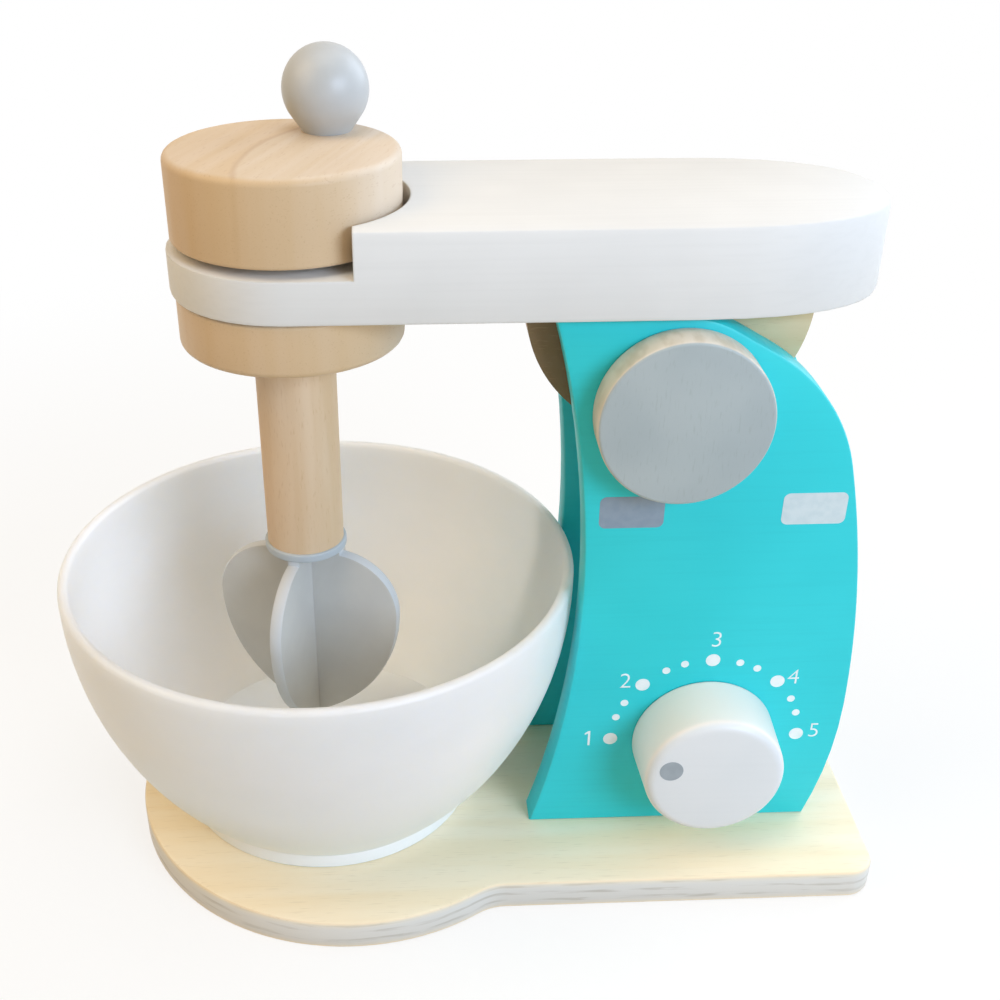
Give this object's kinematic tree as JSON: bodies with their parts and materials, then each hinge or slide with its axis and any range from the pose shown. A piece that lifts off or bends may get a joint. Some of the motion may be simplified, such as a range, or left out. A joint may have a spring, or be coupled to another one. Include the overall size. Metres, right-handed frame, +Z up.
{
  "type": "toy stand mixer",
  "caption": "Wooden toy stand mixer: a tilting arm on a two-panel column turns a hand-cranked beater in a loose bowl, with a turning dial, on a plywood base.",
  "frame": {"origin": "centre of the base board's underside", "axes": "+X from the bowl end to the column, +Y away from the dial, +Z up"},
  "size_m": [0.2385, 0.15, 0.232],
  "materials": {
    "plywood": "birch plywood, sanded and clear lacquered",
    "turquoise_paint": "turquoise paint on plywood, satin",
    "white_paint": "white paint on solid wood, satin",
    "grey_paint": "light grey paint on wood, satin",
    "beech": "turned beech, oiled",
    "bowl_white": "moulded white plastic, satin",
    "steel": "zinc plated screw steel",
    "felt": "dark wool felt"
  },
  "bodies": {
    "base": {"base_board": "plywood", "front_panel": "turquoise_paint", "rear_panel": "turquoise_paint", "panel_screws": "steel"},
    "head": {"arm": "white_paint", "hinge_block": "beech", "block_dowels": "beech", "pivot_axle": "beech", "front_pivot_disc": "grey_paint", "rear_pivot_disc": "grey_paint"},
    "drive": {"crank_disc": "beech", "thrust_washer": "felt", "lower_disc": "beech", "drive_shaft": "beech", "ball_knob": "grey_paint", "ball_peg": "beech", "beater_collar": "grey_paint", "beater_blade_a": "grey_paint", "beater_blade_b": "grey_paint"},
    "bowl": {"bowl": "bowl_white"},
    "dial": {"dial_knob": "white_paint", "dial_axle": "beech", "dial_collar": "beech"}
  },
  "joints": [
    {"name": "head_tilt", "type": "hinge", "parent": "base", "child": "head", "pos_m": [0.0444, 0, 0.1497], "axis": [0, 1, 0], "range_deg": [0, 30]},
    {"name": "crank_turn", "type": "hinge", "parent": "head", "child": "drive", "pos_m": [-0.0553, 0, 0.18], "axis": [0, 0, 1], "continuous": true},
    {"name": "dial_turn", "type": "hinge", "parent": "base", "child": "dial", "pos_m": [0.061, -0.028, 0.0414], "axis": [0, -1, 0], "continuous": true},
    {"name": "bowl_turn", "type": "hinge", "parent": "base", "child": "bowl", "pos_m": [-0.052, 0, 0.01], "axis": [0, 0, 1], "continuous": true}
  ]
}
